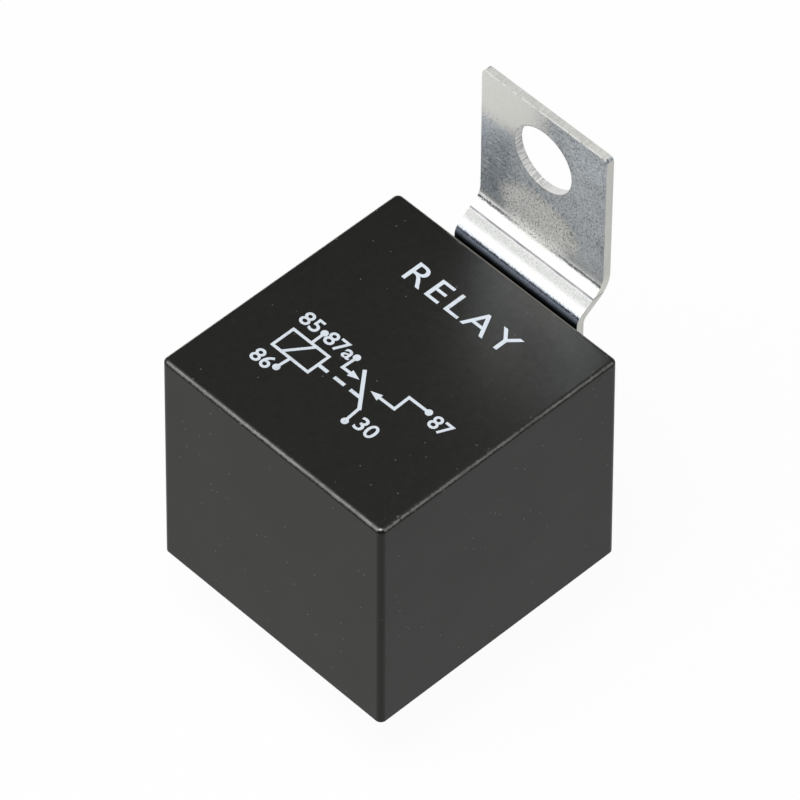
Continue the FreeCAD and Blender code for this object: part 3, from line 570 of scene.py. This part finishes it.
def braid_finish():
    """Bare copper strands woven across each other, with painted shade in the hollows."""
    shader = Shader("copper_braid")
    strands_per_mm = 2.2
    shaded_hollow, crest = (0.3, 0.1, 0.05), (0.75, 0.33, 0.18)
    one_way = ((shader.x + shader.z + shader.y) * strands_per_mm).math("SINE")
    other_way = ((shader.x - shader.z - shader.y) * strands_per_mm).math("SINE")
    weave = one_way * other_way
    strands = shader.noise(0.09, 2.0, stretch=(1, 0.3, 0.3))
    return shader.finish({
        "Base Color": shader.blend(weave.fade(-0.6, 0.6), shaded_hollow, crest),
        "Metallic": 1.0,
        "Roughness": 0.32 + strands * 0.15,
        "Normal": shader.bump(weave + strands * 0.4, 0.08 * MM, 0.8),
    })


def ink_finish(settings):
    """White pad-printed ink, thin in places."""
    shader = Shader("white_ink")
    thin = shader.noise(0.22, 2.0, 0.6) * shader.noise(1.6, 1.0, seed=3.0)
    thin_colour = tint(settings.colour, 0.8)
    return shader.finish({
        "Base Color": shader.blend(thin.fade(0.3, 0.45), settings.colour, thin_colour),
        "Roughness": 0.5 + thin * 0.3,
        "Normal": shader.bump(shader.noise(0.12, 2.0), 0.01 * MM, 0.5),
    })


def paint(node, material):
    """Give a CAD node its finish."""
    mesh_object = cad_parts[node]
    for slot in mesh_object.material_slots:
        slot.material = material


# Making pieces as by hand


def deselect():
    """Leave edit mode and let go of everything."""
    if bpy.context.mode != "OBJECT":
        bpy.ops.object.mode_set(mode="OBJECT")
    bpy.ops.object.select_all(action="DESELECT")


def pick_vertices(wanted):
    """In edit mode, select the vertices that a test on their place picks out."""
    target = bpy.context.object
    mesh = bmesh.from_edit_mesh(target.data)
    for vertex in mesh.verts:
        vertex.select = wanted(target.matrix_world @ vertex.co)
    mesh.select_flush_mode()
    mesh.select_flush(False)
    bmesh.update_edit_mesh(target.data)


def turn_selected(angle, centre):
    """Turn what is selected about an upright line; with no window, rotate turns the other way."""
    bpy.ops.transform.rotate(
        value=-angle, orient_axis="Z", orient_type="GLOBAL", center_override=centre
    )


def scale_selected(factor, centre):
    """Scale what is selected in its level plane."""
    bpy.ops.transform.resize(value=(factor, factor, 1), center_override=centre)


def extrude_selected(step):
    """Draw the selected edge out by a step."""
    bpy.ops.mesh.extrude_edges_move(TRANSFORM_OT_translate={"value": step})


def stroke(points, width, start_cap=True, end_cap=True, arrow=None):
    """A flat bar along a path, mitred at its corners, with an arrowhead if asked for.

    A cap is half a width more at an end. arrow is the arrowhead's length and width, and its tip
    is the path's last point.
    """
    runs = [end - start for start, end in zip(points, points[1:])]
    directions = [run.normalized() for run in runs]
    if arrow:
        runs[-1] = runs[-1] - directions[-1] * arrow[0]
    first = directions[0]
    deselect()
    bpy.ops.mesh.primitive_plane_add(
        size=width, location=points[0], rotation=(0, 0, math.atan2(first.y, first.x))
    )
    bpy.ops.object.mode_set(mode="EDIT")
    if not start_cap:
        pick_vertices(lambda place: (place - points[0]).dot(first) < 0)
        bpy.ops.transform.translate(value=first * (width / 2))
    pick_vertices(lambda place: (place - points[0]).dot(first) > width / 4)
    bpy.ops.transform.translate(value=runs[0] - first * (width / 2))
    corner = points[0] + runs[0]
    for before, after, run in zip(directions, directions[1:], runs[1:]):
        half_turn = before.xy.angle_signed(after.xy) / -2
        turn_selected(half_turn, corner)
        scale_selected(1 / math.cos(half_turn), corner)
        extrude_selected(run)
        corner = corner + run
        scale_selected(math.cos(half_turn), corner)
        turn_selected(half_turn, corner)
    last = directions[-1]
    if arrow:
        extrude_selected((0, 0, 0))
        scale_selected(arrow[1] / width, corner)
        extrude_selected(last * arrow[0])
        bpy.ops.mesh.merge(type="CENTER")
    elif end_cap:
        bpy.ops.transform.translate(value=last * (width / 2))
    bpy.ops.object.mode_set(mode="OBJECT")
    return bpy.context.object


def dot(place, radius):
    """A flat round dot."""
    deselect()
    bpy.ops.mesh.primitive_circle_add(vertices=28, radius=radius, fill_type="NGON", location=place)
    return bpy.context.object


def frame_outline(low, high, width):
    """A rectangular outline of even width between two corners."""
    deselect()
    middle = (low + high) / 2
    bpy.ops.mesh.primitive_plane_add(size=1, location=middle)
    bpy.ops.object.mode_set(mode="EDIT")
    bpy.ops.transform.resize(value=(high.x - low.x, high.y - low.y, 1), center_override=middle)
    bpy.ops.mesh.inset(thickness=width)
    bpy.ops.mesh.delete(type="FACE")
    bpy.ops.object.mode_set(mode="OBJECT")
    return bpy.context.object


def lettering(words, place, height, advance, weight, face_down=False, spacing=1.0):
    """Flat plain lettering, centred on a place, made a mesh before it is placed.

    advance is the width that each letter takes, and weight is how much its strokes swell.
    """
    deselect()
    bpy.ops.object.text_add(location=(0, 0, 0))
    text = bpy.context.object
    text.data.body = words
    text.data.align_x = "CENTER"
    text.data.offset = weight
    text.data.space_character = spacing
    text.data.resolution_u = 4
    bpy.ops.object.convert(target="MESH")
    bpy.ops.object.shade_flat()
    letters = bpy.context.object
    low = Vector(min(axis) for axis in zip(*letters.bound_box))
    high = Vector(max(axis) for axis in zip(*letters.bound_box))
    size = high - low
    scale = Matrix.Diagonal((advance * len(words) / size.x, height / size.y, 1, 1))
    letters.data.transform(scale @ Matrix.Translation(-(low + high) / 2))
    if face_down:
        letters.data.transform(Matrix.Rotation(math.pi, 4, "Y"))
    letters.data.transform(Matrix.Translation(place))
    return letters


def join(name, pieces):
    """Join pieces into one object whose place is in its mesh."""
    deselect()
    for piece in pieces:
        piece.select_set(True)
    bpy.context.view_layer.objects.active = pieces[0]
    if len(pieces) > 1:
        bpy.ops.object.join()
    bpy.ops.object.transform_apply(location=True, rotation=True, scale=True)
    joined = bpy.context.object
    joined.name = joined.data.name = name
    return joined


def thicken(piece, thickness, facing):
    """Turn flat shapes to face up (1) or down (-1) and give them their thickness that way."""
    deselect()
    piece.select_set(True)
    bpy.context.view_layer.objects.active = piece
    bpy.ops.object.transform_apply(location=True, rotation=True, scale=True)
    bpy.ops.object.mode_set(mode="EDIT")
    bpy.ops.mesh.select_all(action="SELECT")
    bpy.ops.mesh.remove_doubles(threshold=1e-7)
    mesh = bmesh.from_edit_mesh(piece.data)
    mesh.normal_update()
    for face in mesh.faces:
        face.select = face.normal.z * facing < 0
    bmesh.update_edit_mesh(piece.data)
    bpy.ops.mesh.flip_normals()
    bpy.ops.object.mode_set(mode="OBJECT")
    modifier = piece.modifiers.new("thickness", "SOLIDIFY")
    modifier.thickness = thickness
    modifier.offset = 1
    bpy.ops.object.modifier_apply(modifier=modifier.name)


def on_top(x, y):
    """A place on the cover's top, given in millimetres from its middle."""
    return Vector((x * MM, y * MM, COVER_TOP))


def finished(piece, material):
    """Give a piece its finish and let it ride on the relay's body."""
    piece.data.materials.clear()
    piece.data.materials.append(material)
    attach(piece, "relay")


# Operators


class RELAY_OT_cover(bpy.types.Operator):
    """Finish the moulded cover"""

    bl_idname = "relay.cover"
    bl_label = "Cover"

    def execute(self, context):
        paint("cover", cover_finish(context.scene.relay_cover))
        return {"FINISHED"}


class RELAY_OT_bracket(bpy.types.Operator):
    """Finish the zinc-plated bracket"""

    bl_idname = "relay.bracket"
    bl_label = "Bracket"

    def execute(self, context):
        paint("mounting_bracket", zinc_finish(context.scene.relay_zinc))
        return {"FINISHED"}


class RELAY_OT_base(bpy.types.Operator):
    """Finish the base plate and the bobbin"""

    bl_idname = "relay.base"
    bl_label = "Base and bobbin"

    def execute(self, context):
        paint("base_plate", base_finish())
        paint("bobbin", bobbin_finish())
        return {"FINISHED"}


class RELAY_OT_terminals(bpy.types.Operator):
    """Finish the five terminals"""

    bl_idname = "relay.terminals"
    bl_label = "Terminals"

    def execute(self, context):
        colour = context.scene.relay_metal.copper
        material = rolled_metal("terminal_metal", colour, tint(colour, 0.6), 0.28)
        for node in ("terminal_30", "terminal_85", "terminal_86", "terminal_87", "terminal_87a"):
            paint(node, material)
        return {"FINISHED"}


class RELAY_OT_magnet(bpy.types.Operator):
    """Finish the yoke, core, armature and winding"""

    bl_idname = "relay.magnet"
    bl_label = "Magnet system"

    def execute(self, context):
        settings = context.scene.relay_metal
        material = rolled_metal("magnet_steel", settings.steel, tint(settings.steel, 0.55), 0.34)
        for node in ("yoke", "core", "armature"):
            paint(node, material)
        paint("winding", winding_finish(settings))
        return {"FINISHED"}


class RELAY_OT_contacts(bpy.types.Operator):
    """Finish the contacts, the leaf, the spring and the braid"""

    bl_idname = "relay.contacts"
    bl_label = "Contacts and springs"

    def execute(self, context):
        settings = context.scene.relay_metal
        bronze = rolled_metal("leaf_bronze", settings.bronze, (0.45, 0.3, 0.15), 0.3)
        silver = rolled_metal("contact_silver", settings.silver, (0.55, 0.54, 0.52), 0.22)
        wire = rolled_metal("spring_wire", settings.spring, (0.3, 0.3, 0.31), 0.25)
        for node, material in (
            ("contact_leaf", bronze), ("leaf_rivets", bronze), ("moving_contact", silver),
            ("open_contact", silver), ("closed_contact", silver), ("return_spring", wire),
            ("contact_braid", braid_finish()),
        ):
            paint(node, material)
        return {"FINISHED"}


class RELAY_OT_figure(bpy.types.Operator):
    """Print the circuit figure, its plain terminal numbers and the word on the cover's top"""

    bl_idname = "relay.figure"
    bl_label = "Printed figure"

    def execute(self, context):
        settings = context.scene.relay_print
        width = settings.line_width
        strokes = self.coil(width) + self.dashes(1.2 * width) + self.contacts(width) + self.dots()
        # Each later stroke stands a micrometre higher, so that no two tops lie in one plane
        for level, line in enumerate(strokes):
            thicken(line, settings.ink_height + level * MICROMETRE, 1)
        figure = join("print_figure", strokes)
        numbers = join("print_numbers", self.numbers(settings.digit_height))
        word = join("print_word", [self.word(settings.word)])
        for piece in (numbers, word):
            thicken(piece, settings.ink_height, 1)
        ink = ink_finish(settings)
        for piece in (figure, numbers, word):
            finished(piece, ink)
        return {"FINISHED"}

    def coil(self, width):
        """The coil's box, its slash, and the leads to the dots of 85 and 86."""
        return [
            frame_outline(on_top(-8.32, -6.22), on_top(-3.63, -3.43), width),
            stroke([on_top(-7.1, -6.05), on_top(-5.3, -3.6)], width),
            stroke([on_top(-5.96, -3.45), on_top(-5.97, -2.11)], width, start_cap=False, end_cap=False),
            stroke([on_top(-5.94, -6.2), on_top(-6.05, -7.57)], width, start_cap=False, end_cap=False),
        ]

    def dashes(self, width):
        """The broken line from the coil to the contact arm."""
        level = -4.85
        return [
            stroke([on_top(start, level), on_top(end, level)], width, start_cap=False, end_cap=False)
            for start, end in ((-3.7, -2.57), (-1.79, -0.51), (0.18, 1.4))
        ]

    def contacts(self, width):
        """The arm and its foot at 30, and the arrows of 87a and 87."""
        arrow = (1.1 * MM, 0.8 * MM)
        hinge = on_top(2.25, -5.74)
        closed = [on_top(-2.04, -2.01), on_top(-2.11, -3.56), on_top(-0.1, -3.5)]
        opened = [
            on_top(6.61, -1.81), on_top(4.3, -1.84), on_top(4.36, -3.65), on_top(1.5, -3.7),
        ]
        return [
            stroke([on_top(-0.46, -2.53), hinge], 1.25 * width),
            stroke([hinge, on_top(2.41, -7.62)], width, end_cap=False),
            stroke(closed, width, start_cap=False, arrow=arrow),
            stroke(opened, width, start_cap=False, arrow=arrow),
        ]

    def dots(self):
        """The terminals' dots: 85, 86, 30, 87a and 87."""
        places = ((-5.97, -2.0), (-6.05, -7.62), (2.41, -7.62), (-2.04, -1.93), (6.68, -1.81))
        return [dot(on_top(x, y), 0.36 * MM) for x, y in places]

    def numbers(self, height):
        """The terminals' numbers, each beside its dot."""
        places = {
            "85": (-7.67, -1.88), "86": (-7.61, -7.76), "30": (4.31, -6.84),
            "87a": (-4.02, -1.98), "87": (8.46, -2.17),
        }
        advance, weight = 1.09 * MM, 0.014
        return [
            lettering(words, on_top(*place), height, advance, weight)
            for words, place in places.items()
        ]

    def word(self, words):
        """The word over the figure."""
        height, advance, weight = 2.4 * MM, 2.55 * MM, 0.0
        return lettering(words, on_top(0.2, 8.5), height, advance, weight, spacing=1.16)


class RELAY_OT_base_numbers(bpy.types.Operator):
    """Raise the plain terminal numbers on the base plate's underside"""

    bl_idname = "relay.base_numbers"
    bl_label = "Base numbers"

    def execute(self, context):
        places = {
            "30": (-3.4, 9.6), "85": (8.4, 5.4), "86": (-8.4, 5.4), "87": (5.2, -8.4),
            "87a": (0, 2.3),
        }
        height, advance, weight = 1.6 * MM, 1.15 * MM, 0.004
        numbers = []
        for words, (x, y) in places.items():
            place = Vector((x * MM, y * MM, BASE_UNDERSIDE))
            numbers.append(lettering(words, place, height, advance, weight, face_down=True))
        piece = join("base_numbers", numbers)
        thicken(piece, RAISED, -1)
        finished(piece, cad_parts["base_plate"].material_slots[0].material)
        return {"FINISHED"}


class RELAY_OT_stage(bpy.types.Operator):
    """Lay the floor, set the lamps and aim the camera"""

    bl_idname = "relay.stage"
    bl_label = "Stage"

    def execute(self, context):
        settings = context.scene.relay_stage
        self.floor(settings)
        self.lamps(settings)
        self.sky(context, settings)
        self.camera(context)
        context.scene.view_settings.view_transform = "Standard"
        return {"FINISHED"}

    def floor(self, settings):
        """A pale floor at the blades' tips, nearly white to the eye and in reflections."""
        deselect()
        bpy.ops.mesh.primitive_plane_add(size=FLOOR_SIZE, location=(0, 0, BLADE_TIP_Z))
        floor = bpy.context.object
        floor.name = "floor"
        bpy.ops.object.transform_apply(location=True, rotation=True, scale=True)
        shader = Shader("pale_floor")
        cloud = shader.noise(60.0, 2.0)
        pale = shader.blend(cloud, settings.floor_colour, tint(settings.floor_colour, 0.99))
        paper = shader.node("ShaderNodeBsdfDiffuse", None, {"Color": pale})
        glow = shader.node("ShaderNodeEmission", None, {"Color": (1, 1, 1, 1), "Strength": 1.0})
        camera = shader.node("ShaderNodeLightPath", output="Is Camera Ray")
        glossy = shader.node("ShaderNodeLightPath", output="Is Glossy Ray")
        through = shader.node("ShaderNodeLightPath", output="Is Transmission Ray")
        seen = camera.most(glossy).most(through) * FLOOR_GLOW
        mixed = shader.node("ShaderNodeMixShader", None, [seen, paper, glow])
        floor.data.materials.append(shader.output(mixed))

    def lamps(self, settings):
        """A lamp overhead and a soft panel in front, both aimed at the cover's middle."""
        target = Vector((0, 0, COVER_TOP / 2))
        for name, place, size, power in (
            ("overhead_lamp", (0.07, -0.2, 0.66), (0.4, 0.4), settings.key_power),
            ("front_panel", (-0.29, -0.41, 0.37), (0.45, 0.5), settings.fill_power),
        ):
            deselect()
            bpy.ops.object.light_add(type="AREA", location=place)
            lamp = bpy.context.object
            lamp.name = name
            lamp.data.shape = "RECTANGLE"
            lamp.data.size, lamp.data.size_y = size
            lamp.data.energy = power
            lamp.rotation_euler = (target - lamp.location).to_track_quat("-Z", "Y").to_euler()

    def sky(self, context, settings):
        """Even white light from all round."""
        world = context.scene.world or bpy.data.worlds.new("sky")
        context.scene.world = world
        world.use_nodes = True
        background = world.node_tree.nodes.get("Background")
        background.inputs["Color"].default_value = (1, 1, 1, 1)
        background.inputs["Strength"].default_value = settings.sky

    def camera(self, context):
        """Stand where the photograph was taken from, by the fit of the cover's corners."""
        azimuth, elevation, roll = (
            math.radians(angle) for angle in (CAMERA_AZIMUTH, CAMERA_ELEVATION, CAMERA_ROLL)
        )
        back = Vector((
            math.sin(azimuth) * math.cos(elevation),
            -math.cos(azimuth) * math.cos(elevation),
            math.sin(elevation),
        ))
        level = Vector((math.cos(azimuth), math.sin(azimuth), 0))
        upward = back.cross(level)
        right = math.cos(roll) * level + math.sin(roll) * upward
        up = math.cos(roll) * upward - math.sin(roll) * level
        turn = Matrix((right, up, back)).transposed()
        place = turn @ (Vector((CAMERA_RIGHT, CAMERA_UP, CAMERA_BACK)) * MM)
        data = bpy.data.cameras.new("camera")
        data.sensor_width = SENSOR_WIDTH
        data.lens = SENSOR_WIDTH * FOCAL_PIXELS / PHOTO_PIXELS
        data.sensor_fit = "HORIZONTAL"
        data.clip_start = 0.01
        camera = bpy.data.objects.new("camera", data)
        context.collection.objects.link(camera)
        camera.matrix_world = Matrix.Translation(place) @ turn.to_4x4()
        context.scene.camera = camera


class RELAY_PT_panel(bpy.types.Panel):
    """The relay's finishing steps and their settings"""

    bl_idname = "RELAY_PT_panel"
    bl_label = "Cube relay"
    bl_space_type = "VIEW_3D"
    bl_region_type = "UI"
    bl_category = "Relay"

    def draw(self, context):
        for operator in OPERATORS:
            self.layout.operator(operator.bl_idname)
        for name, group in SETTINGS.items():
            box = self.layout.box()
            for key in group.__annotations__:
                box.prop(getattr(context.scene, name), key)


OPERATORS = (
    RELAY_OT_cover, RELAY_OT_bracket, RELAY_OT_base, RELAY_OT_terminals, RELAY_OT_magnet,
    RELAY_OT_contacts, RELAY_OT_figure, RELAY_OT_base_numbers, RELAY_OT_stage,
)


def register():
    for name, group in SETTINGS.items():
        bpy.utils.register_class(group)
        setattr(bpy.types.Scene, name, PointerProperty(type=group))
    for item in (*OPERATORS, RELAY_PT_panel):
        bpy.utils.register_class(item)


def unregister():
    for item in (*OPERATORS, RELAY_PT_panel):
        bpy.utils.unregister_class(item)
    for name, group in SETTINGS.items():
        delattr(bpy.types.Scene, name)
        bpy.utils.unregister_class(group)


def main():
    register()
    for operator in OPERATORS:
        group, name = operator.bl_idname.split(".")
        getattr(getattr(bpy.ops, group), name)()


if __name__ == "__main__":
    main()
